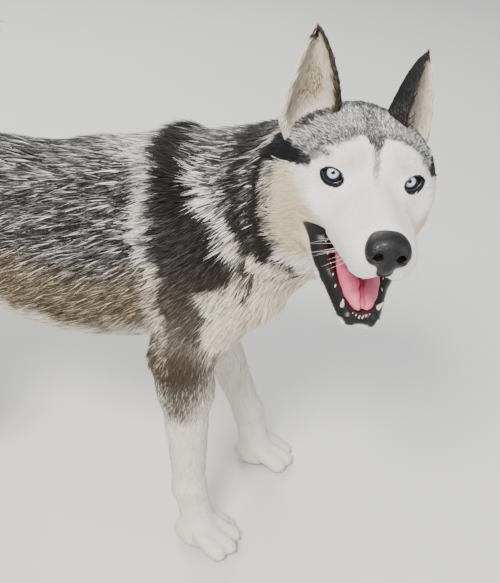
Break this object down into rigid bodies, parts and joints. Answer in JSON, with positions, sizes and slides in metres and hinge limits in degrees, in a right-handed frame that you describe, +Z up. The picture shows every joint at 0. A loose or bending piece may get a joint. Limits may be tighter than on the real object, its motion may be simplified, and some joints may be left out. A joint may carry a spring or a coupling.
{
  "type": "standing siberian husky model",
  "caption": "Life-size still model of a standing husky, head turned aside with open mouth, upright ears, grizzled back, white legs and a bushy tail carried up.",
  "frame": {"origin": "on the floor under the middle of the model's box", "axes": "+X towards the chest along the body, +Y to the animal's left, +Z up"},
  "size_m": [0.753, 0.4144, 0.6898],
  "materials": {
    "grizzled_coat": "double coat of short woolly hair, black and grey guard hairs flecked with white",
    "white_coat": "dense short white to cream hair",
    "tongue": "wet pink tongue, standing in for soft tissue",
    "nose_pad": "moist black pebbled skin",
    "eye": "wet pale blue eye"
  },
  "bodies": {
    "root": {"torso": "grizzled_coat", "neck": "grizzled_coat", "head": "white_coat", "lower_jaw": "white_coat", "tongue": "tongue", "nose": "nose_pad", "ear_right": "grizzled_coat", "ear_left": "grizzled_coat", "eye_right": "eye", "eye_left": "eye", "foreleg_right": "white_coat", "foreleg_left": "white_coat", "forepaw_right": "white_coat", "forepaw_left": "white_coat", "hindleg_right": "white_coat", "hindleg_left": "white_coat", "hindpaw_right": "white_coat", "hindpaw_left": "white_coat", "tail": "grizzled_coat"}
  },
  "joints": []
}
